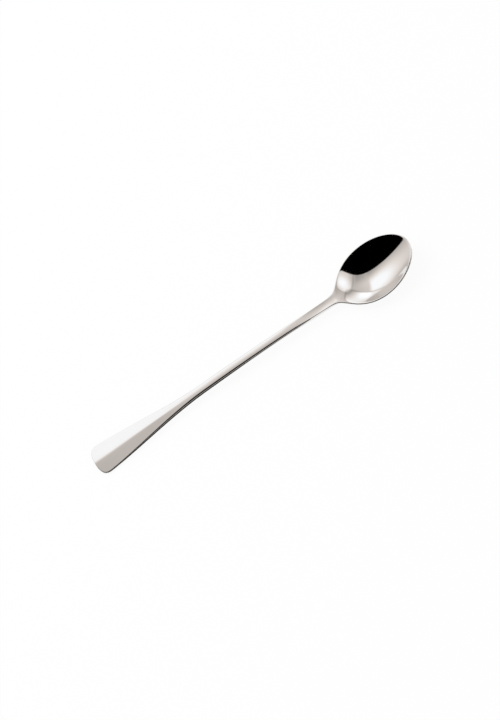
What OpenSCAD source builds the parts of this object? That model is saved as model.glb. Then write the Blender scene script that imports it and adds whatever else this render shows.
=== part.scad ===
// Iced tea spoon, one solid piece of polished stainless steel.
// It lies on its back along X: handle end at -X, bowl tip at +X, hollow of the bowl up.
// The origin is on the table under the middle of its length.

/* [Whole spoon] */
// Length from the end of the handle to the tip of the bowl
overall_l = 200; // [185:1:215]

/* [Bowl] */
// Width of the bowl over its rim
bowl_w = 31.8; // [28:0.2:35]
// Length of the bowl from its heel to its tip
bowl_l = 48; // [42:0.2:53]
// Depth of the hollow below the rim
bowl_depth = 6.7; // [5.5:0.1:9]
// Thickness of the wall at the bottom of the bowl
bowl_wall = 1.3; // [1:0.1:2]
// Thickness of the rim, top to underside
rim_t = 1.1; // [0.9:0.1:1.6]
// Width of the top of the rim along the sides of the bowl
rim_land = 0.5; // [0.4:0.05:1]
// Width of the top of the rim at the tip
tip_land = 1.2; // [0.5:0.1:1.8]

/* [Stem] */
// Width of the stem where the handle's blade runs out
stem_rear_w = 5; // [4.4:0.1:6.4]
// Width of the stem just behind the neck
stem_front_w = 4; // [3.6:0.1:5.4]
// Height of the stem's side, with its rounded edges
stem_side_t = 2.6; // [2:0.1:3]
// Radius of the stem's long edges
stem_edge_r = 1.1; // [0.5:0.05:1.3]
// Rise of the flat crown above the stem's edges
crown_h = 0.25; // [0.1:0.05:1]
// Drop of the rounded underside below the stem's side
belly_h = 0.4; // [0.2:0.1:0.9]
// How far the corner between stem and bowl is rounded
neck_blend = 3.9; // [2.4:0.1:5]

/* [Handle] */
// Width of the handle's blade where its rounded end begins
blade_w = 16.6; // [13:0.2:19]
// Length over which the blade tapers to the stem
blade_l = 64; // [48:1:74]
// Length of the rounded end
end_l = 6.2; // [5:0.1:9]
// Height of the blade's side at its end, with its rounded edges
blade_side_t = 1.4; // [1:0.1:2]
// Rise of the ridge above the blade's edges
ridge_h = 0.9; // [0.5:0.1:1.4]
// Radius of the edges of blade and rim
edge_r = 0.35; // [0.2:0.05:0.5]

/* [Side view] */
// Height of the stem's top edge at the crest of its arch, above that of the handle's end
arch_rise = 5.5; // [3:0.1:8]
// Height of the rim at the neck, above the top edge of the handle's end
neck_rise = 3.6; // [2.5:0.1:5]
// Height of the rim at the widest part of the bowl, above the rim at the neck
rim_rise = 2.2; // [0.5:0.1:3]
// Height of the rim at the tip, above the rim at the widest part of the bowl
tip_rise = 6.6; // [3:0.1:7.5]

/* [Hidden] */

end_x = -overall_l / 2;
tip_x = overall_l / 2;
heel_x = tip_x - bowl_l;
wide_x = end_x + end_l;

// The widest place of the bowl, as a share of its length from the heel
bowl_mid_share = 0.52;
mid_x = heel_x + bowl_mid_share * bowl_l;

// Power that makes the outline full towards the heel, and the one that rounds the handle's end
heel_power = 0.65;
end_power = 2.75;
// Makes the outline bend alike on both sides of the widest place
tip_bend = 2 * heel_power * pow((tip_x - mid_x) / (mid_x - heel_x), 2);
// How much of the hollow's depth is a plain parabola, as a share; above 1 its walls are straighter
dish_share = 1.1;
// How long the blade keeps its width before it tapers
blade_swell = 1.2;
// Where the ridge starts to fade into the stem's crown, and over how much, as shares of the blade
fade_start_share = 0.45;
fade_length_share = 0.7;

// Rings of points along each stretch, points across the top and the underside, and steps round an edge
end_rings = 12;
blade_rings = 22;
stem_rings = 20;
neck_rings = 20;
bowl_rings = 34;
top_points = 20;
under_points = 14;
edge_steps = 3;
// Turns of the close rings at the two ends, which stop just short of a quarter
first_turn = 1.5;
last_turn = 88.5;

// The neck's stretch of close rings, from behind the heel to inside the bowl
neck_back = bowl_l / 4;
neck_front = bowl_l / 6;

function ease(t) = let (u = max(0, min(1, t))) u * u * u * (10 + u * (6 * u - 15));
function mix(a, b, t) = a + (b - a) * t;
function soft_max(a, b, r) = (a + b + sqrt((a - b) * (a - b) + r * r)) / 2;

// Half width of the bowl's outline at x, as a share of its widest, running below zero behind the heel
function bowl_outline(x, tip) =
    let (back = (mid_x - x) / (mid_x - heel_x), front = (x - mid_x) / (tip - mid_x))
    back >= 1 ? 2 * (1 - back)
    : back > 0 ? pow(1 - back * back, mix(heel_power, 1, back * back))
    : sqrt(max(0, 1 - tip_bend * pow(front, 2) + (tip_bend - 1) * pow(front, 4)));
function bowl_half(x) = bowl_w / 2 * bowl_outline(x, tip_x);

// Half width of blade and stem, without the rounding of the end
function handle_half(x) =
    let (t = min(1, (x - wide_x) / blade_l))
    let (along = max(0, min(1, (x - stem_start) / (heel_x - stem_start))))
    mix(stem_rear_w, stem_front_w, along) / 2
    + (blade_w - stem_rear_w) / 2 * (1 - t) * (1 - t) * (1 + blade_swell * t);

// The share of the half width that the rounded end leaves
function end_share(x) =
    let (t = max(0, (wide_x - x) / end_l)) pow(max(0, 1 - pow(t, end_power)), 1 / end_power);

// The rounding of the neck's corners, which fades out along the blade and into the bowl
function blend(x) =
    neck_blend * ease((x - wide_x) / blade_l) * ease((mid_x - x) / (mid_x - heel_x));

function half(x) =
    x > mid_x ? bowl_half(x) : soft_max(handle_half(x), bowl_half(x), blend(x)) * end_share(x);

// How much of the bowl there is at x, from 0 on the stem to 1 in the bowl
function bowl_share(x) = ease((x - neck_start) / (neck_back + neck_front));

// Top edge in the side view: a smooth curve drawn by even stations along the length
neck_z = neck_rise;
rim_z = neck_z + rim_rise;
tip_z = rim_z + tip_rise;
// How far the handle has risen at its first stations, as shares of the arch; its end lies level
rise_shares = [0.38, 0.6, 0.87];
// How far it has come down from the arch to the neck at the station past the crest
fall_share = 0.05;
edge_heights = [
    rise_shares[0] * arch_rise, 0, rise_shares[0] * arch_rise, rise_shares[1] * arch_rise,
    rise_shares[2] * arch_rise, arch_rise, mix(arch_rise, neck_z, fall_share), neck_z,
    rim_z, tip_z, 2 * tip_z - rim_z
];

function edge_z(x) =
    let (n = len(edge_heights) - 3, t = (x - end_x) / overall_l * n)
    let (i = max(0, min(n - 1, floor(t))), f = t - i)
    let (a = edge_heights[i], b = edge_heights[i + 1], c = edge_heights[i + 2], d = edge_heights[i + 3])
    (a * pow(1 - f, 3) + b * (3 * f * f * f - 6 * f * f + 4)
        + c * (-3 * f * f * f + 3 * f * f + 3 * f + 1) + d * f * f * f) / 6;

// A size that goes from the blade's value over the stem's to the rim's
function size_at(x, blade, stem, rim) =
    mix(mix(blade, stem, ease((x - end_x) / (blade_l + end_l))), rim, bowl_share(x));

// Height of the side wall, and radius of its edges
function side_t(x) = size_at(x, blade_side_t, stem_side_t, rim_t);
function side_r(x) = size_at(x, edge_r, stem_edge_r, edge_r);

// Rise of ridge and crown: two flat facets that keep their slope along the blade, one round on the stem
function crown(x, y) =
    let (w = handle_half(x), v = min(1, abs(y) / w))
    let (t = ease((x - wide_x - fade_start_share * blade_l) / (fade_length_share * blade_l)))
    mix(ridge_h * w / (blade_w / 2), crown_h, t) * mix(1 - v, 1 - v * v, t) * (1 - bowl_share(x));

// How far a dish lies below its rim, as a share of its depth; q is 1 at its lowest place, 0 on the rim
function dish(q) = let (r = 1 - max(0, q)) 1 - r * (dish_share + (1 - dish_share) * r);

// The hollow's own outline lies inside the flat top of the rim
hollow_w = bowl_w - 2 * rim_land;
function hollow_half(x) = hollow_w / 2 * max(0, bowl_outline(x, tip_x - tip_land));
function hollow_q(x, y) = (pow(hollow_half(x), 2) - y * y) / pow(hollow_w / 2, 2);

function top_z(x, y) = edge_z(x) + crown(x, y) - bowl_depth * dish(hollow_q(x, y));

// The underside is flat across under the handle's end, on which the spoon lies, and round under the stem
function belly(x, v) =
    belly_h * mix(1, 1 - v * v, ease((x - wide_x) / blade_l)) * (1 - bowl_share(x)) * end_share(x);

function under_z(x, y) =
    let (v = min(1, abs(y) / half(x)), b = max(0, bowl_outline(x, tip_x)))
    edge_z(x) - side_t(x) - belly(x, v)
    - (bowl_depth + bowl_wall - rim_t) * dish(b * b * (1 - v * v));

// Where the rings lie
stem_start = wide_x + blade_l;
neck_start = heel_x - neck_back;
neck_end = heel_x + neck_front;
function turn_x(from, to, a) = from + (to - from) * sin(a);
ring_x = [
    for (i = [0:end_rings - 1]) turn_x(wide_x, end_x, mix(90 - first_turn, 0, i / end_rings)),
    for (i = [0:blade_rings - 1]) mix(wide_x, stem_start, i / blade_rings),
    for (i = [0:stem_rings - 1]) mix(stem_start, neck_start, i / stem_rings),
    for (i = [0:neck_rings - 1]) mix(neck_start, neck_end, i / neck_rings),
    for (i = [0:bowl_rings]) turn_x(neck_end, tip_x, mix(0, last_turn, i / bowl_rings))
];

// An edge takes up no more than this share of the width and of the height
round_share = 0.45;

// One ring: across the top from right to left, down the left side, back along the underside
function ring(x) =
    let (w = half(x), h = side_t(x), r = min(side_r(x), round_share * w, round_share * h), flat = w - r)
    let (inner = mix(flat, min(flat, max(hollow_half(x), w / 2)), bowl_share(x)))
    let (zt = top_z(x, flat) - r, zb = under_z(x, flat) + r)
    let (turns = [for (i = [0:edge_steps]) 90 * i / edge_steps])
    [
        for (a = turns) [x, -flat - r * cos(a), zt + r * sin(a)],
        for (i = [0:top_points]) let (y = -inner * cos(180 * i / top_points)) [x, y, top_z(x, y)],
        for (a = turns) [x, flat + r * sin(a), zt + r * cos(a)],
        for (a = turns) [x, flat + r * cos(a), zb - r * sin(a)],
        for (i = [1:under_points - 1])
            let (y = flat * cos(180 * i / under_points)) [x, y, under_z(x, y)],
        for (a = turns) [x, -flat - r * sin(a), zb - r * cos(a)]
    ];

rings = [for (x = ring_x) ring(x)];
rows = len(rings);
count = len(rings[0]);

// The spoon is tipped so that the end of its handle and the bowl both rest on the table
function row_low(row) = min([for (p = row) p[2]]);
function foot(rows) =
    let (lows = [for (row = rows) row_low(row)], low = min(lows)) [rows[search(low, lows)[0]][0][0], low];
handle_foot = foot([for (row = rings) if (row[0][0] < wide_x) row]);
bowl_foot = foot([for (row = rings) if (row[0][0] > heel_x) row]);
function table_z(x) =
    mix(handle_foot[1], bowl_foot[1], (x - handle_foot[0]) / (bowl_foot[0] - handle_foot[0]));
tipped = [for (row = rings) for (p = row) [p[0], p[1], p[2] - table_z(p[0])]];
lowest = min([for (p = tipped) p[2]]);

faces = [
    for (i = [0:rows - 2]) for (j = [0:count - 1])
        let (a = i * count + j, b = i * count + (j + 1) % count)
        each [[a, b, a + count], [b, b + count, a + count]],
    [for (j = [0:count - 1]) count - 1 - j],
    [for (j = [0:count - 1]) (rows - 1) * count + j]
];

module spoon() {
    color("silver")
        translate([0, 0, -lowest])
            polyhedron(points = tipped, faces = faces, convexity = 6);
}

spoon();
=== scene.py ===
import math
import bmesh
import bpy
from mathutils import Matrix, Vector


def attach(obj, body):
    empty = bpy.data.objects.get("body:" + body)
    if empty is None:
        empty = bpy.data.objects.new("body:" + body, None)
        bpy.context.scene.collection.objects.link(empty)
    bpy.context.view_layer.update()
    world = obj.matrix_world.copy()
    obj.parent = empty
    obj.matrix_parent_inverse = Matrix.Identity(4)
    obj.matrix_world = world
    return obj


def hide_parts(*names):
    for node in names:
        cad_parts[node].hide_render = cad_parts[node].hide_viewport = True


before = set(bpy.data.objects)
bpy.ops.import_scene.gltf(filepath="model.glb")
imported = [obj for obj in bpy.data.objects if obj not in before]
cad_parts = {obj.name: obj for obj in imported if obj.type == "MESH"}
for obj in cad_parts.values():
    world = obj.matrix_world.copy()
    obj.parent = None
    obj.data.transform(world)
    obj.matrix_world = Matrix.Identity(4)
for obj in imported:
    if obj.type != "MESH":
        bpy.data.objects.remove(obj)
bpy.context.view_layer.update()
mm = 0.001
tiny = 1e-6
print("frame loaded")


def mix(a, b, t):
    return a + (b - a) * t


def clamp(t):
    return max(0.0, min(1.0, t))


def ease(t):
    t = clamp(t)
    return t * t * t * (10 + t * (6 * t - 15))


def toLinear(hexColour):
    # sRGB hex to the linear values that the shaders take
    parts = [int(hexColour[i:i + 2], 16) / 255 for i in (1, 3, 5)]
    return [p / 12.92 if p <= 0.04045 else ((p + 0.055) / 1.055) ** 2.4 for p in parts] + [1.0]


def addNode(tree, kind, settings=None, inputs=None, links=None):
    # one node with its settings, its fixed inputs and its links
    node = tree.nodes.new(kind)
    for name, value in (settings or {}).items():
        setattr(node, name, value)
    for name, value in (inputs or {}).items():
        node.inputs[name].default_value = value
    for name, source in (links or {}).items():
        tree.links.new(source, node.inputs[name])
    return node


def newMaterial(name):
    material = bpy.data.materials.new(name)
    material.use_nodes = True
    material.node_tree.nodes.clear()
    return material, material.node_tree


def newPiece(name, bm, material):
    mesh = bpy.data.meshes.new(name)
    bm.to_mesh(mesh)
    bm.free()
    for face in mesh.polygons:
        face.use_smooth = True
    piece = bpy.data.objects.new(name, mesh)
    bpy.context.scene.collection.objects.link(piece)
    mesh.materials.append(material)
    return piece


# Camera: the photograph's angle, a long lens 0.9 m away, rolled so that the spoon lies aslant
cameraView = {
    "elevation": 66.0,       # degrees above the table
    "azimuth": 6.0,          # degrees round from the front
    "roll": 39.48,           # degrees that the spoon turns in the picture
    "distance": 0.9,         # m from the middle of the spoon
    "scale": 1912.8,         # pixels per metre at that distance
    "middle": (3.92, 1.83),  # pixels from the picture's middle to the spoon's origin
    "longSide": 720,         # pixels
    "sensor": 36,            # mm
    "clip": (0.05, 20),      # m
}


def makeCamera(view):
    e, a, r = (math.radians(view[k]) for k in ("elevation", "azimuth", "roll"))
    back = Vector((math.sin(a) * math.cos(e), -math.cos(a) * math.cos(e), math.sin(e)))
    level = Vector((math.cos(a), math.sin(a), 0))
    upward = back.cross(level)
    right = level * math.cos(r) - upward * math.sin(r)
    up = level * math.sin(r) + upward * math.cos(r)
    data = bpy.data.cameras.new("photoCamera")
    data.sensor_width = view["sensor"]
    data.lens = view["scale"] * view["distance"] * view["sensor"] / view["longSide"]
    data.clip_start, data.clip_end = view["clip"]
    camera = bpy.data.objects.new("photoCamera", data)
    bpy.context.scene.collection.objects.link(camera)
    dx, dy = (m / view["scale"] for m in view["middle"])
    place = back * view["distance"] - right * dx - up * dy
    turn = Matrix((right, up, back)).transposed()
    camera.matrix_world = Matrix.Translation(place) @ turn.to_4x4()
    bpy.context.scene.camera = camera


makeCamera(cameraView)
print("camera placed")


# Spoon: one sheet of steel, pressed to the same sizes as the CAD part, in millimetres
spoon = {
    "length": 200.0,
    "bowlWidth": 31.8, "bowlLength": 48.0, "bowlDepth": 6.7, "bowlWall": 1.3,
    "rimThickness": 1.1, "rimTop": 0.5, "rimEdge": 0.5, "tipTop": 0.6,
    "widestShare": 0.52, "heelPower": 0.65, "dishShare": 1.1, "rimSoftness": 0.03,
    "stemRearWidth": 5.0, "stemFrontWidth": 4.0, "stemSide": 2.6, "stemEdge": 1.1,
    "crown": 0.25, "belly": 0.4,
    # the handle turns into the bowl from so far behind the heel to so far past it
    "neckBehind": 12.0, "neckPast": 8.0, "neckBlend": 3.9,
    # the bowl's hollow runs out into the neck between these places
    "neckHollow": 0.22, "neckFrom": 18.0, "neckTo": 44.0,
    "bladeWidth": 16.6, "bladeLength": 64.0, "bladeSide": 1.4, "bladeSwell": 1.2,
    # the ridge fades from a share of the blade's length on, over another share
    "ridge": 0.9, "ridgeSoftness": 0.05, "ridgeFade": (0.45, 0.7),
    "endLength": 6.2, "endPower": 2.75, "roundShare": 0.45, "edge": 0.35,
    "archRise": 5.5, "neckRise": 3.6, "rimRise": 2.2, "tipRise": 6.6,
    "riseShares": (0.38, 0.6, 0.87), "fallShare": 0.05,
    # rows of faces along: rounded end, blade, stem, neck, back of the bowl, front of the bowl
    "rows": (12, 40, 38, 34, 24, 30),
    "columns": 44, "columnSpread": 0.75, "wallRows": 9,
}

endX = -spoon["length"] / 2
tipX = spoon["length"] / 2
heelX = tipX - spoon["bowlLength"]
midX = heelX + spoon["widestShare"] * spoon["bowlLength"]
wideX = endX + spoon["endLength"]
stemX = wideX + spoon["bladeLength"]
neckStartX = heelX - spoon["neckBehind"]
neckEndX = heelX + spoon["neckPast"]
tipBend = 2 * spoon["heelPower"] * ((tipX - midX) / (midX - heelX)) ** 2
neckZ = spoon["neckRise"]
rimZ = neckZ + spoon["rimRise"]
tipZ = rimZ + spoon["tipRise"]


def bowlOutline(x, tip):
    # half width as a share of the widest, below zero behind the heel
    back = (midX - x) / (midX - heelX)
    front = (x - midX) / (tip - midX)
    if back >= 1:
        return 2 * (1 - back)
    if back > 0:
        return (1 - back * back) ** mix(spoon["heelPower"], 1, back * back)
    return math.sqrt(max(0.0, 1 - tipBend * front ** 2 + (tipBend - 1) * front ** 4))


def handleHalf(x):
    # half width of the blade and the stem
    t = min(1.0, (x - wideX) / spoon["bladeLength"])
    along = clamp((x - stemX) / (heelX - stemX))
    swell = (1 - t) ** 2 * (1 + spoon["bladeSwell"] * t)
    stem = mix(spoon["stemRearWidth"], spoon["stemFrontWidth"], along) / 2
    return stem + (spoon["bladeWidth"] - spoon["stemRearWidth"]) / 2 * swell


def fullHalf(x):
    # half width without the rounding of the handle's end
    bowl = spoon["bowlWidth"] / 2 * bowlOutline(x, tipX)
    if x > midX:
        return bowl
    handle = handleHalf(x)
    blend = spoon["neckBlend"] * ease((x - wideX) / spoon["bladeLength"])
    blend *= ease((midX - x) / (midX - heelX))
    return (handle + bowl + math.sqrt((handle - bowl) ** 2 + blend ** 2)) / 2


def bowlShare(x):
    # 0 on the handle, 1 on the bowl
    return ease((x - neckStartX) / (neckEndX - neckStartX))


def neckShare(x):
    # 0 on the stem, 1 on the neck
    return ease((x - spoon["neckFrom"]) / (spoon["neckTo"] - spoon["neckFrom"]))


def endShare(x):
    # width at the rounded end of the handle as a share of the full width
    t = max(0.0, (wideX - x) / spoon["endLength"])
    return max(0.0, 1 - t ** spoon["endPower"]) ** (1 / spoon["endPower"])


def sizeAt(x, blade, stem, rim):
    # a size that goes from the blade's over the stem's to the rim's
    along = ease((x - endX) / (spoon["bladeLength"] + spoon["endLength"]))
    return mix(mix(blade, stem, along), rim, bowlShare(x))


def sideHeight(x):
    return sizeAt(x, spoon["bladeSide"], spoon["stemSide"], spoon["rimThickness"])


def sideRadius(x):
    # how far the top and the underside round into the side
    half = handleHalf(x) if x < midX else spoon["bowlWidth"]
    limit = spoon["roundShare"] * min(half, sideHeight(x))
    stemEdge = mix(spoon["stemEdge"], spoon["edge"], neckShare(x))
    return min(sizeAt(x, spoon["edge"], stemEdge, spoon["rimEdge"]), limit)


def edgeHeight(x):
    # top edge in the side view, a smooth curve through even stations
    arch = spoon["archRise"]
    low, middle, high = (share * arch for share in spoon["riseShares"])
    fallen = mix(arch, neckZ, spoon["fallShare"])
    stations = [low, 0, low, middle, high, arch, fallen, neckZ, rimZ, tipZ, 2 * tipZ - rimZ]
    count = len(stations) - 3
    t = (x - endX) / spoon["length"] * count
    i = max(0, min(count - 1, math.floor(t)))
    f = t - i
    weights = ((1 - f) ** 3, 3 * f ** 3 - 6 * f * f + 4,
               -3 * f ** 3 + 3 * f * f + 3 * f + 1, f ** 3)
    return sum(w * stations[i + k] for k, w in enumerate(weights)) / 6


def crownHeight(x, y):
    # two flat facets that meet in a ridge on the blade, then a low round on the stem
    # and a shallow hollow on the neck
    half = handleHalf(x)
    v = min(1.0, abs(y) / half)
    start, length = (share * spoon["bladeLength"] for share in spoon["ridgeFade"])
    fading = ease((x - wideX - start) / length)
    ridge = spoon["ridge"] * half / (spoon["bladeWidth"] / 2)
    soft = spoon["ridgeSoftness"]
    facets = 1 + soft - math.sqrt(v * v + soft * soft)
    rise = mix(spoon["crown"], -spoon["neckHollow"], neckShare(x))
    return mix(ridge, rise, fading) * mix(facets, 1 - v * v, fading) * (1 - bowlShare(x))


def dish(q):
    # depth as a share of the bowl's: q is 1 in the middle and 0 at the rim
    r = 1 - q
    return 1 - r * (spoon["dishShare"] + (1 - spoon["dishShare"]) * r)


def topHeight(x, y):
    half = spoon["bowlWidth"] / 2 - spoon["rimTop"]
    tip = tipX - spoon["tipTop"]
    outside = -0.1
    outline = bowlOutline(x, tip) if x < tip else outside
    q = outline * abs(outline) - (y / half) ** 2
    q = (q + math.sqrt(q * q + spoon["rimSoftness"] ** 2)) / 2
    return edgeHeight(x) + crownHeight(x, y) - spoon["bowlDepth"] * dish(q)


def underHeight(x, v):
    # v runs from 0 on the middle line to 1 on the outline
    b = max(0.0, bowlOutline(x, tipX))
    # flat across under the handle's end, on which the spoon lies, and round under the stem
    rounding = mix(1, 1 - v * v, ease((x - wideX) / spoon["bladeLength"]))
    belly = spoon["belly"] * rounding * (1 - bowlShare(x)) * endShare(x)
    deep = spoon["bowlDepth"] + spoon["bowlWall"] - spoon["rimThickness"]
    return edgeHeight(x) - sideHeight(x) - belly - deep * dish(b * b * (1 - v * v))


def sheetPoint(s, v):
    # place of a point of the flat blank: s from 0 to 1 along its rows, v from -1 to 1 across
    rows = spoon["rows"]
    row = s * sum(rows)
    if row < rows[0]:
        # rows bend round the end of the handle
        u = math.sin(math.pi / 2 * (1 - row / rows[0]))
        p = spoon["endPower"]
        t = u * (1 - abs(v) ** p / 2) ** (1 / p)
        side = v * (1 - u ** p / 2) ** (1 / p)
        x = wideX - (spoon["endLength"] - spoon["edge"]) * t
        return x, side * (handleHalf(x) - spoon["edge"])
    last = sum(rows[:-1])
    if row > last:
        # and round the tip of the bowl
        u = math.sin(math.pi / 2 * (row - last) / rows[-1])
        t = u * math.sqrt(1 - v * v / 2)
        side = v * math.sqrt(1 - u * u / 2)
        x = midX + (tipX - spoon["rimEdge"] - midX) * t
        half = spoon["bowlWidth"] / 2 - spoon["rimEdge"]
        return x, side * half * math.sqrt(1 + (1 - tipBend) * t * t)
    places = (wideX, stemX, neckStartX, neckEndX, midX)
    start = rows[0]
    for k, count in enumerate(rows[1:-1]):
        if row <= start + count:
            x = mix(places[k], places[k + 1], (row - start) / count)
            break
        start += count
    step = 0.05
    slope = (fullHalf(x + step) - fullHalf(x - step)) / (2 * step) if x < midX - step else 0
    return x, v * (fullHalf(x) - sideRadius(x) * math.sqrt(1 + slope * slope))


def underShare(s, v):
    # share of the half width on the underside, 1 all round the edge
    rows = spoon["rows"]
    row = s * sum(rows)
    if row < rows[0]:
        return max(abs(v), math.sin(math.pi / 2 * (1 - row / rows[0])))
    last = sum(rows[:-1])
    if row > last:
        u = math.sin(math.pi / 2 * (row - last) / rows[-1])
        x, y = sheetPoint(s, v)
        half = spoon["bowlWidth"] / 2 - spoon["rimEdge"]
        outline = bowlOutline(x, tipX - spoon["rimEdge"]) * half
        return min(1.0, abs(y) / outline) if outline > tiny and u < 1 - tiny else 1.0
    return abs(v)


def edgeNormal(s, v):
    # outward direction of the blank's edge, in its plane
    step = 1e-4
    onEnd = s < step or s > 1 - step
    inner = step if s < 0.5 else -step
    if onEnd and abs(v) > 1 - tiny:
        (ax, ay), (bx, by) = sheetPoint(s + inner, v), sheetPoint(s, v * (1 - step))
    elif onEnd:
        (ax, ay), (bx, by) = sheetPoint(s, v + step), sheetPoint(s, v - step)
    else:
        (ax, ay), (bx, by) = sheetPoint(s - step, v), sheetPoint(s + step, v)
    normal = Vector((by - ay, ax - bx)).normalized()
    x, y = sheetPoint(s, v)
    outward = Vector((x - (endX + tipX) / 2, 0)) if onEnd and abs(v) < 0.5 else Vector((0, v))
    return normal if normal.dot(outward) > 0 else -normal


def feet():
    # lowest places of the underside, at the handle's end and under the bowl
    steps = 200
    lows = []
    for start, stop in ((endX, wideX), (heelX, tipX)):
        places = [mix(start, stop, i / steps) for i in range(steps + 1)]
        x = min(places, key=lambda p: underHeight(p, 0))
        lows.append((x, underHeight(x, 0)))
    return lows


def pressSpoon():
    bm = bmesh.new()
    bmesh.ops.create_grid(bm, x_segments=sum(spoon["rows"]), y_segments=spoon["columns"], size=1)
    alongLayer = bm.verts.layers.float.new("along")
    acrossLayer = bm.verts.layers.float.new("across")
    depthLayer = bm.verts.layers.float.new("depth")  # 0 on the top, 1 on the underside
    for vert in bm.verts:
        vert[alongLayer] = (vert.co.x + 1) / 2
        g = vert.co.y
        vert[acrossLayer] = mix(g, math.sin(math.pi / 2 * g), spoon["columnSpread"])
    made = bmesh.ops.extrude_face_region(bm, geom=bm.faces[:])
    for item in made["geom"]:
        if isinstance(item, bmesh.types.BMVert):
            item[depthLayer] = 1
    walls = [edge for edge in bm.edges if edge.verts[0][depthLayer] != edge.verts[1][depthLayer]]
    wallRows = spoon["wallRows"]
    bmesh.ops.subdivide_edges(bm, edges=walls, cuts=wallRows - 1, use_grid_fill=True)
    (footA, lowA), (footB, lowB) = feet()
    turns = wallRows // 2
    hair = 1e-3
    for vert in bm.verts:
        s, v, depth = vert[alongLayer], vert[acrossLayer], vert[depthLayer]
        x, y = sheetPoint(s, v)
        if depth < hair:
            z = topHeight(x, y)
        elif depth > 1 - hair:
            z = underHeight(x, underShare(s, v))
        else:
            # round the edge: a quarter turn, the wall, another quarter turn to the underside
            k = depth * wallRows
            upper = k <= turns + 0.5
            turn = math.pi / 2 * (k if upper else wallRows - k) / turns
            radius = sideRadius(x)
            normal = edgeNormal(s, v)
            zTop, zUnder = topHeight(x, y), underHeight(x, 1)
            x += normal.x * radius * math.sin(turn)
            y += normal.y * radius * math.sin(turn)
            fall = radius * (1 - math.cos(turn))
            z = zTop - fall if upper else zUnder + fall
        level = mix(lowA, lowB, (x - footA) / (footB - footA))
        vert.co = (x, y, z - level)
    bmesh.ops.scale(bm, vec=(mm, mm, mm), verts=bm.verts)
    bmesh.ops.recalc_face_normals(bm, faces=bm.faces)
    return bm


steelFinish = {
    # lines of the wheel are some 0.05 mm apart; they are drawn at 0.25 mm so that they show at all
    "lineGap": 0.25, "lineLength": 40.0, "lineDepth": 0.002,  # mm
    "lineBump": 0.15, "lineRoughness": 0.03,  # how much of the lines shows
    "lineNoise": {"Scale": 1.0, "Detail": 3.0, "Roughness": 0.6},
    "hazeSize": 12.0,  # mm across: soft patches left by handling
    "hazeNoise": {"Detail": 2.0, "Roughness": 0.5}, "hazeSpread": (0.3, 0.7),
    "roughness": (0.03, 0.07), "darkTone": "#e4e3e1", "lightTone": "#eae9e8",
}


def polishedSteel(finish):
    # 18/10 stainless steel, stamped and buffed along its length: near mirror, faint wheel lines
    material, tree = newMaterial("polishedStainlessSteel")
    coords = addNode(tree, "ShaderNodeTexCoord")
    along, across = 1 / (finish["lineLength"] * mm), 1 / (finish["lineGap"] * mm)
    lines = addNode(tree, "ShaderNodeMapping", inputs={"Scale": (along, across, across)},
                    links={"Vector": coords.outputs["Object"]})
    wheel = addNode(tree, "ShaderNodeTexNoise", inputs=finish["lineNoise"],
                    links={"Vector": lines.outputs["Vector"]})
    haze = addNode(tree, "ShaderNodeTexNoise",
                   inputs={"Scale": 1 / (finish["hazeSize"] * mm), **finish["hazeNoise"]},
                   links={"Vector": coords.outputs["Object"]})
    tone = addNode(tree, "ShaderNodeValToRGB", links={"Fac": haze.outputs["Fac"]})
    tone.color_ramp.elements[0].color = toLinear(finish["darkTone"])
    tone.color_ramp.elements[1].color = toLinear(finish["lightTone"])
    (low, high), (smooth, rough) = finish["hazeSpread"], finish["roughness"]
    hazed = addNode(tree, "ShaderNodeMapRange",
                    inputs={"From Min": low, "From Max": high, "To Min": smooth, "To Max": rough},
                    links={"Value": haze.outputs["Fac"]})
    lined = addNode(tree, "ShaderNodeMath", {"operation": "MULTIPLY_ADD"},
                    {1: finish["lineRoughness"]},
                    {0: wheel.outputs["Fac"], 2: hazed.outputs["Result"]})
    bump = addNode(tree, "ShaderNodeBump",
                   inputs={"Strength": finish["lineBump"], "Distance": finish["lineDepth"] * mm},
                   links={"Height": wheel.outputs["Fac"]})
    shader = addNode(tree, "ShaderNodeBsdfPrincipled", inputs={"Metallic": 1.0},
                     links={"Base Color": tone.outputs["Color"],
                            "Roughness": lined.outputs["Value"],
                            "Normal": bump.outputs["Normal"]})
    addNode(tree, "ShaderNodeOutputMaterial", links={"Surface": shader.outputs["BSDF"]})
    return material


spoonPiece = newPiece("spoon_polished", pressSpoon(), polishedSteel(steelFinish))
smoothing = spoonPiece.modifiers.new("smooth", "SUBSURF")
smoothing.levels = smoothing.render_levels = 1
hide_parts("spoon")
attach(spoonPiece, "root")
print("spoon pressed and polished")


# Stage: white table and world, and a glowing tent and black cards that only the steel mirrors; the
# tent's glows and shades are painted, with no lamps behind it, and the cards paint a dark
# reflection along the spoon's near edge
def whiteShown(tree):
    # 1 for the rays that show the background: the camera's, those off metal or through glass
    path = addNode(tree, "ShaderNodeLightPath")
    shown = path.outputs["Is Camera Ray"]
    for ray in ("Is Glossy Ray", "Is Transmission Ray"):
        shown = addNode(tree, "ShaderNodeMath", {"operation": "MAXIMUM"},
                        links={0: shown, 1: path.outputs[ray]}).outputs["Value"]
    return shown


def onlyMirrored(prop):
    # a stage prop that nothing but reflections shows
    for ray in ("camera", "diffuse", "shadow", "transmission", "volume_scatter"):
        setattr(prop, "visible_" + ray, False)


# radius in m, drop below the spoon in mm, glow as a share of full white
whiteTable = {"radius": 4.0, "drop": 0.05, "segments": 96,
              "board": "#f2f2f2", "background": "#ffffff", "glow": 0.9}


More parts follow.
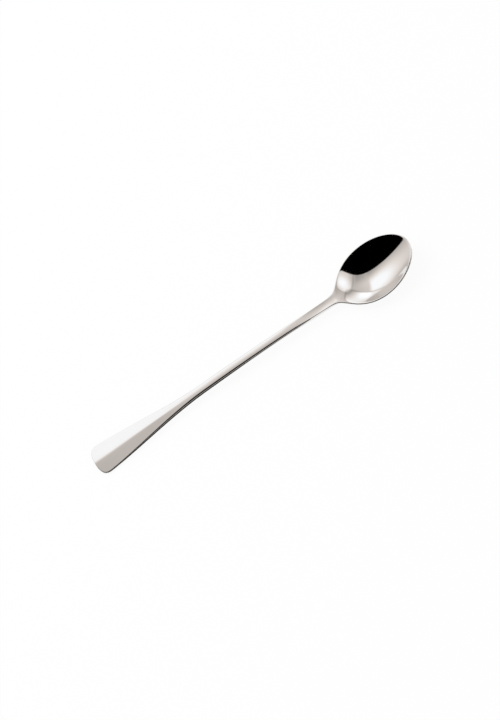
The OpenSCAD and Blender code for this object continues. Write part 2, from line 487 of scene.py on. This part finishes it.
def tableTop(top):
    # matt white board: it keeps a soft shadow and stays white to the camera and in the steel
    material, tree = newMaterial("whiteBoard")
    board = addNode(tree, "ShaderNodeBsdfDiffuse", inputs={"Color": toLinear(top["board"])})
    glow = addNode(tree, "ShaderNodeEmission",
                   inputs={"Color": toLinear(top["background"]), "Strength": 1.0})
    share = addNode(tree, "ShaderNodeMath", {"operation": "MULTIPLY"}, {1: top["glow"]},
                    {0: whiteShown(tree)})
    both = addNode(tree, "ShaderNodeMixShader", links={
        0: share.outputs["Value"], 1: board.outputs["BSDF"], 2: glow.outputs["Emission"]})
    addNode(tree, "ShaderNodeOutputMaterial", links={"Surface": both.outputs["Shader"]})
    return material


def makeTable(top):
    bm = bmesh.new()
    bmesh.ops.create_circle(bm, cap_ends=True, segments=top["segments"], radius=top["radius"])
    bmesh.ops.translate(bm, vec=(0, 0, -top["drop"] * mm), verts=bm.verts)
    table = newPiece("table", bm, tableTop(top))


makeTable(whiteTable)


# painted dark reflections: black cards that only the steel mirrors, laid before the handle and the
# bowl, cut to their outline, in millimetres; each keeps off by its gap and a share of the edge's
# height, and past "opens" by "openGap" more
darkReflectionCards = {
    "handleDarkReflection": {"from": -100.3, "to": 36.0, "gap": 0.3, "heightShare": 0.15,
                   "opens": (-40.0, 34.0), "openGap": 4.5},
    "bowlDarkReflection": {"from": 52.0, "to": 160.0, "gap": 1.5, "heightShare": 0.0,
                 "opens": (90.0, 104.0), "openGap": 1.5},
}
darkReflectionPaper = {"width": 600.0, "drop": 0.02, "steps": 150, "colour": "#080808"}


def paintedDarkReflection(paper):
    # painted dark reflection: a matt black card that only the steel's near edge mirrors beside the
    # spoon
    material, tree = newMaterial("paintedDarkReflectionCard")
    surface = addNode(tree, "ShaderNodeBsdfDiffuse", inputs={"Color": toLinear(paper["colour"])})
    addNode(tree, "ShaderNodeOutputMaterial", links={"Surface": surface.outputs["BSDF"]})
    return material


def layCard(name, card, paper):
    bm = bmesh.new()
    bmesh.ops.create_grid(bm, x_segments=paper["steps"], y_segments=1, size=1)
    start, stop = card["opens"]
    for vert in bm.verts:
        x = mix(card["from"], card["to"], (vert.co.x + 1) / 2)
        onSpoon = min(x, tipX)
        opening = card["openGap"] * ease((x - start) / (stop - start))
        gap = card["gap"] + card["heightShare"] * edgeHeight(onSpoon) + opening
        y = -fullHalf(onSpoon) * endShare(x) - gap
        vert.co = (x, y if vert.co.y > 0 else y - paper["width"], -paper["drop"])
    bmesh.ops.scale(bm, vec=(mm, mm, mm), verts=bm.verts)
    # seen only in the steel, where it paints a dark line along the near edge
    onlyMirrored(newPiece(name, bm, paintedDarkReflection(paper)))


for cardName, card in darkReflectionCards.items():
    layCard(cardName, card, darkReflectionPaper)


paintedGlowTent = {
    "radius": 4.0, "centre": 0.07,  # m, the centre along X towards the bowl
    "segments": (96, 48),
    # upright edges of the open front: azimuth and lean in degrees; how far they round off above
    "opening": {"first": (174.1, 15.5), "last": (-77.0, -10.0), "offset": 0.262,
                "round": 1.1, "blur": 0.03},
    # a painted grey card across the front, seen only in the steel: the sine of its height as seen
    # from the spoon, more to +X
    "paintedFrontCard": {"light": 0.45, "height": 0.60, "blur": 0.2, "slope": (-0.28, 0, 1)},
    # roof panel between three folds, each a plane through the spoon; painted shade makes it greyer
    # at the opening
    "folds": ((0.826, -0.411, -0.386), (0.675, 0.175, -0.722), (-0.982, 0.162, -0.09)),
    "foldBlur": 0.15,
    "roof": {"near": 0.50, "far": 0.92, "reach": 0.55, "slope": (-0.42, -0.12, 0)},
    # painted shade in the roof's creases: turn in degrees, bands across the view, depth as a share
    # of the light
    "paintedCreaseShade": {"turn": -40.0, "bands": 14.0, "depth": 0.22, "waver": 1.5, "detail": 1.0},
    "paintedFootShade": {"light": 0.8, "reach": 0.145},  # painted shade at the foot of the walls, as if the table shaded them
    # walls: azimuth and height of each painted glow, which has no lamp behind it, how wide, where
    # its glow starts and stops to fade, the light of glow and fabric
    "walls": (
        {"at": (-11.7, 33.9), "wide": 3.3, "fade": (0.25, 0.485), "light": (1.33, 0.64)},
        {"at": (78.5, 26.5), "wide": 0.95, "fade": (0.10, 0.66), "light": (1.42, 0.50)},
        {"at": (99.5, 35.0), "wide": 1.35, "fade": (0.19, 0.95), "light": (1.22, 0.42)},
    ),
    "corners": (38.3, 81.8),  # azimuths of the upright edges between the walls
    # stitched lines: place past the first folds, half width
    "seams": ((0.05, 0.05), (-0.01, 0.05)), "seamLight": 0.7,
    "border": {"light": 0.82, "reach": 0.29},  # the fabric's edge beside the opening
    # warm cloth, cool painted lamp glow, and between which lights the one turns into the other
    "tint": {"shade": "#fff7f2", "white": "#f8fbff", "from": 0.85, "to": 1.3},
    "level": 1.03,
}


def uprightPlane(azimuth, lean=0):
    # normal of a plane through the spoon that stands at an azimuth and leans, both in degrees
    a, t = math.radians(azimuth), math.radians(lean)
    return Vector((-math.sin(a) * math.cos(t), math.cos(a) * math.cos(t), math.sin(t)))


def paintedTentGlow(light):
    # emission that only the steel mirrors, painted to look like white nylon lit from outside: a
    # painted glow for each lamp, painted shade in soft creases, a roof greyed with painted shade,
    # open front
    material, tree = newMaterial("paintedTentReflection")
    coords = addNode(tree, "ShaderNodeTexCoord")
    outward = addNode(tree, "ShaderNodeVectorMath", {"operation": "NORMALIZE"},
                      links={0: coords.outputs["Object"]}).outputs["Vector"]
    front, card, roof, paintedCreaseShade = (light[k] for k in ("opening", "paintedFrontCard", "roof", "paintedCreaseShade"))
    paintedFootShade, border, tint = light["paintedFootShade"], light["border"], light["tint"]
    soft = {"interpolation_type": "SMOOTHSTEP"}
    seam = {"From Min": -light["foldBlur"] / 2, "From Max": light["foldBlur"] / 2}

    # how far each direction lies past the planes that the tent is cut by
    first = uprightPlane(*front["first"])
    planes = {"first": (-first.x, -first.y, first.z), "last": uprightPlane(*front["last"]),
              "slope": roof["slope"], "card": card["slope"]}
    for number, fold in enumerate(light["folds"]):
        planes["fold", number] = fold
    for number, azimuth in enumerate(light["corners"]):
        planes["corner", number] = uprightPlane(azimuth)
    past = {}
    for name, normal in planes.items():
        plane = addNode(tree, "ShaderNodeVectorMath", {"operation": "DOT_PRODUCT"}, {1: normal},
                        {0: outward})
        past[name] = plane.outputs["Value"]

    # depth into the fabric from the open front
    edge = addNode(tree, "ShaderNodeMath", {"operation": "SMOOTH_MAX"}, {2: front["round"]},
                   {0: past["first"], 1: past["last"]})
    inside = addNode(tree, "ShaderNodeMath", {"operation": "SUBTRACT"}, {1: front["offset"]},
                     {0: edge.outputs["Value"]}).outputs["Value"]

    # walls, each with a painted glow where a lamp would stand, joined at the corners, with painted
    # shade at the foot
    walls = None
    for number, wall in enumerate(light["walls"]):
        azimuth, height = (math.radians(angle) for angle in wall["at"])
        turned = addNode(tree, "ShaderNodeMapping", {"vector_type": "TEXTURE"},
                         {"Rotation": (0, 0, azimuth), "Scale": (1, wall["wide"], 1)},
                         {"Vector": outward})
        away = addNode(tree, "ShaderNodeVectorMath", {"operation": "DISTANCE"},
                       {1: (math.cos(height), 0, math.sin(height))}, {0: turned.outputs["Vector"]})
        (inner, outer), (glow, fabric) = wall["fade"], wall["light"]
        paintedGlow = addNode(tree, "ShaderNodeMapRange", soft,
                      {"From Min": inner, "From Max": outer, "To Min": glow, "To Max": fabric},
                      {"Value": away.outputs["Value"]}).outputs["Result"]
        if walls is None:
            walls = paintedGlow
            continue
        turning = addNode(tree, "ShaderNodeMapRange", soft, seam,
                          {"Value": past["corner", number - 1]})
        walls = addNode(tree, "ShaderNodeMix", {"data_type": "FLOAT"},
                        links={0: turning.outputs["Result"], 2: walls, 3: paintedGlow}).outputs[0]
    split = addNode(tree, "ShaderNodeSeparateXYZ", links={"Vector": outward})
    foot = addNode(tree, "ShaderNodeMapRange", soft,
                   {"From Max": paintedFootShade["reach"], "To Min": paintedFootShade["light"]},
                   {"Value": split.outputs["Z"]})
    walls = addNode(tree, "ShaderNodeMath", {"operation": "MULTIPLY"},
                    links={0: walls, 1: foot.outputs["Result"]}).outputs["Value"]

    # roof with painted shade in its creases and painted shade greying it towards the front,
    # between its folds
    fall = addNode(tree, "ShaderNodeMapRange", soft,
                   {"From Max": roof["reach"], "To Min": roof["near"], "To Max": roof["far"]},
                   {"Value": inside})
    sloped = addNode(tree, "ShaderNodeMath", {"operation": "ADD"},
                     links={0: fall.outputs["Result"], 1: past["slope"]})
    along = addNode(tree, "ShaderNodeMapping", {"vector_type": "TEXTURE"},
                    {"Rotation": (0, 0, math.radians(paintedCreaseShade["turn"]))}, {"Vector": outward})
    ripple = addNode(tree, "ShaderNodeTexWave", {"wave_type": "BANDS", "bands_direction": "X"},
                     {"Scale": paintedCreaseShade["bands"], "Distortion": paintedCreaseShade["waver"],
                      "Detail": paintedCreaseShade["detail"], "Detail Scale": paintedCreaseShade["detail"]},
                     {"Vector": along.outputs["Vector"]})
    half = paintedCreaseShade["depth"] / 2
    shade = addNode(tree, "ShaderNodeMapRange", inputs={"To Min": 1 - half, "To Max": 1 + half},
                    links={"Value": ripple.outputs["Fac"]})
    creased = addNode(tree, "ShaderNodeMath", {"operation": "MULTIPLY"},
                      links={0: sloped.outputs["Value"], 1: shade.outputs["Result"]})
    beyond = past["fold", 0]
    for number in range(1, len(light["folds"])):
        beyond = addNode(tree, "ShaderNodeMath", {"operation": "MAXIMUM"},
                         links={0: beyond, 1: past["fold", number]}).outputs["Value"]
    down = addNode(tree, "ShaderNodeMapRange", soft, seam, {"Value": beyond})
    cloth = addNode(tree, "ShaderNodeMix", {"data_type": "FLOAT"},
                    links={0: down.outputs["Result"], 2: creased.outputs["Value"],
                           3: walls}).outputs[0]

    # darker stitched line along the first folds
    for number, (place, reach) in enumerate(light["seams"]):
        distance = addNode(tree, "ShaderNodeMath", {"operation": "SUBTRACT"}, {1: place},
                           {0: past["fold", number]})
        offset = addNode(tree, "ShaderNodeMath", {"operation": "ABSOLUTE"},
                         links={0: distance.outputs["Value"]})
        stitched = addNode(tree, "ShaderNodeMapRange", soft,
                           {"From Max": reach, "To Min": light["seamLight"]},
                           {"Value": offset.outputs["Value"]})
        cloth = addNode(tree, "ShaderNodeMath", {"operation": "MULTIPLY"},
                        links={0: cloth, 1: stitched.outputs["Result"]}).outputs["Value"]

    # hem beside the open front, the front itself, and the painted grey card across it
    capped = addNode(tree, "ShaderNodeMath", {"operation": "MINIMUM"}, {1: border["light"]},
                     {0: cloth})
    within = addNode(tree, "ShaderNodeMapRange", soft, {"From Max": border["reach"]},
                     {"Value": inside})
    hemmed = addNode(tree, "ShaderNodeMix", {"data_type": "FLOAT"},
                     links={0: within.outputs["Result"], 2: capped.outputs["Value"], 3: cloth})
    shut = addNode(tree, "ShaderNodeMapRange", soft,
                   {"From Min": -front["blur"] / 2, "From Max": front["blur"] / 2},
                   {"Value": inside})
    tent = addNode(tree, "ShaderNodeMath", {"operation": "MULTIPLY"},
                   links={0: hemmed.outputs[0], 1: shut.outputs["Result"]})
    low = addNode(tree, "ShaderNodeMapRange", soft,
                  {"From Min": card["height"] - card["blur"], "From Max": card["height"],
                   "To Min": card["light"], "To Max": 0.0}, {"Value": past["card"]})
    cloth = addNode(tree, "ShaderNodeMath", {"operation": "MAXIMUM"},
                    links={0: tent.outputs["Value"], 1: low.outputs["Result"]}).outputs["Value"]

    lightness = addNode(tree, "ShaderNodeMapRange", soft,
                        {"From Min": tint["from"], "From Max": tint["to"]}, {"Value": cloth})
    colour = addNode(tree, "ShaderNodeMix", {"data_type": "RGBA"},
                     {6: toLinear(tint["shade"]), 7: toLinear(tint["white"])},
                     {0: lightness.outputs["Result"]})
    bright = addNode(tree, "ShaderNodeMath", {"operation": "MULTIPLY"}, {1: light["level"]},
                     {0: cloth})
    shine = addNode(tree, "ShaderNodeEmission",
                    links={"Color": colour.outputs[2], "Strength": bright.outputs["Value"]})
    addNode(tree, "ShaderNodeOutputMaterial", links={"Surface": shine.outputs["Emission"]})
    return material


def makeTent(light):
    bm = bmesh.new()
    around, upward = light["segments"]
    bmesh.ops.create_uvsphere(bm, u_segments=around, v_segments=upward, radius=light["radius"])
    bmesh.ops.bisect_plane(bm, geom=bm.verts[:] + bm.edges[:] + bm.faces[:], plane_co=(0, 0, 0),
                           plane_no=(0, 0, -1), clear_outer=True)
    tent = newPiece("tent", bm, paintedTentGlow(light))
    tent.location.x = light["centre"]
    # the dome is no lamp: only the steel sees its painted glows and painted shade
    onlyMirrored(tent)


makeTent(paintedGlowTent)


# strength of the white world on the object, and as background
whiteWorld = {"fill": 0.85, "shown": 1.0, "colour": "#ffffff"}


def makeWorld(white):
    world = bpy.data.worlds.new("whiteStudio")
    bpy.context.scene.world = world
    world.use_nodes = True
    tree = world.node_tree
    tree.nodes.clear()
    level = addNode(tree, "ShaderNodeMapRange",
                    inputs={"To Min": white["fill"], "To Max": white["shown"]},
                    links={"Value": whiteShown(tree)})
    sky = addNode(tree, "ShaderNodeBackground", inputs={"Color": toLinear(white["colour"])},
                  links={"Strength": level.outputs["Result"]})
    addNode(tree, "ShaderNodeOutputWorld", links={"Surface": sky.outputs["Background"]})


makeWorld(whiteWorld)


softBox = {"place": (-0.5, 0.6, 1.2), "size": 0.9, "watts": 6}  # place and size in m


def makeLamp(name, lamp):
    # it shades the table beside the spoon and isn't seen in the steel
    data = bpy.data.lights.new(name, "AREA")
    data.shape, data.size, data.energy = "DISK", lamp["size"], lamp["watts"]
    light = bpy.data.objects.new(name, data)
    bpy.context.scene.collection.objects.link(light)
    light.location = lamp["place"]
    light.rotation_euler = (-Vector(lamp["place"])).to_track_quat("-Z", "Y").to_euler()
    light.visible_glossy = False


makeLamp("softBox", softBox)
bpy.context.scene.view_settings.view_transform = "Standard"
print("stage set")
